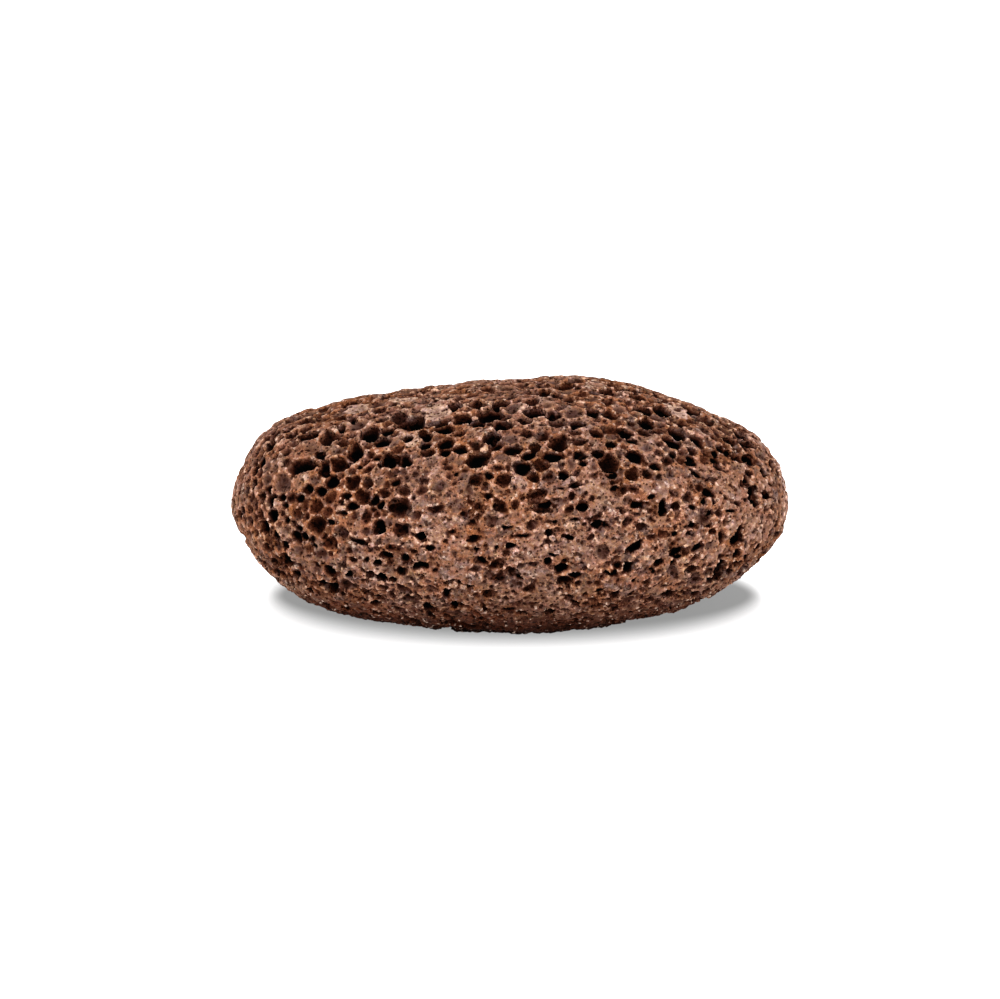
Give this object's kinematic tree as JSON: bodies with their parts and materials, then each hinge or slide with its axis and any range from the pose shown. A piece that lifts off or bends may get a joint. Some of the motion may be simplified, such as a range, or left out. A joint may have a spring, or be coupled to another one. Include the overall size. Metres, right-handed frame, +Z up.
{
  "type": "pumice stone",
  "caption": "Rounded reddish-brown lava pumice stone for rubbing rough skin, with open gas bubbles all over its skin and a small worn flat underneath.",
  "frame": {"origin": "middle of the stone's footprint, on the ground it rests on", "axes": "+X along the stone's length, +Z up, the broad face that shows most towards -Y"},
  "size_m": [0.1004, 0.0582, 0.0439],
  "materials": {
    "lava_foam": "dry, dull and gritty reddish-brown lava foam, dark inside the open bubbles"
  },
  "bodies": {
    "root": {"stone": "lava_foam"}
  },
  "joints": []
}
